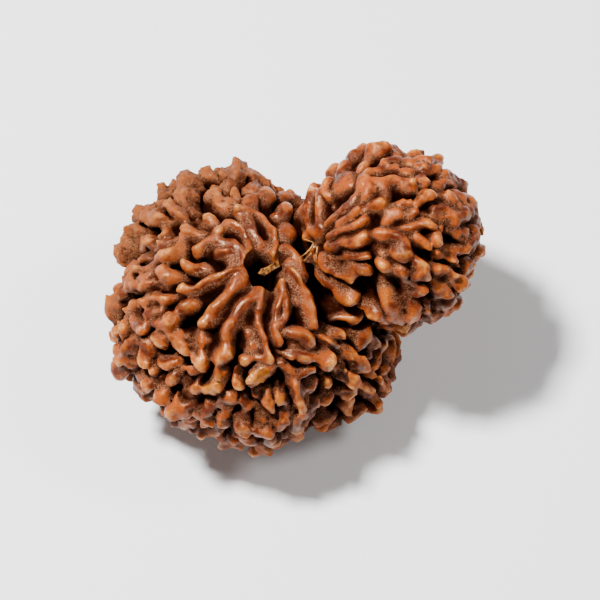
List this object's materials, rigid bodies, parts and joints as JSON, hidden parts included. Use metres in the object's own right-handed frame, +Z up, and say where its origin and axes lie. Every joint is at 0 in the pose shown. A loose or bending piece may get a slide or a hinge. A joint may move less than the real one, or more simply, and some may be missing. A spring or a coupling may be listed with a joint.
{
  "type": "rudraksha seed",
  "caption": "Naturally joined rudraksha seed: a large, deeply ridged round bead with a smaller one grown onto its shoulder, resting on a small flat spot.",
  "frame": {"origin": "the small flat spot under the large bead that the seed rests on", "axes": "+Z up, away from the surface that the seed rests on; +X along the seed's length, from the large bead towards the small one"},
  "size_m": [0.04, 0.0317, 0.029],
  "materials": {
    "seed_shell": "hard reddish-brown nut wood, polished on the crests and dusty in the grooves"
  },
  "bodies": {
    "root": {"joined_beads": "seed_shell"}
  },
  "joints": []
}
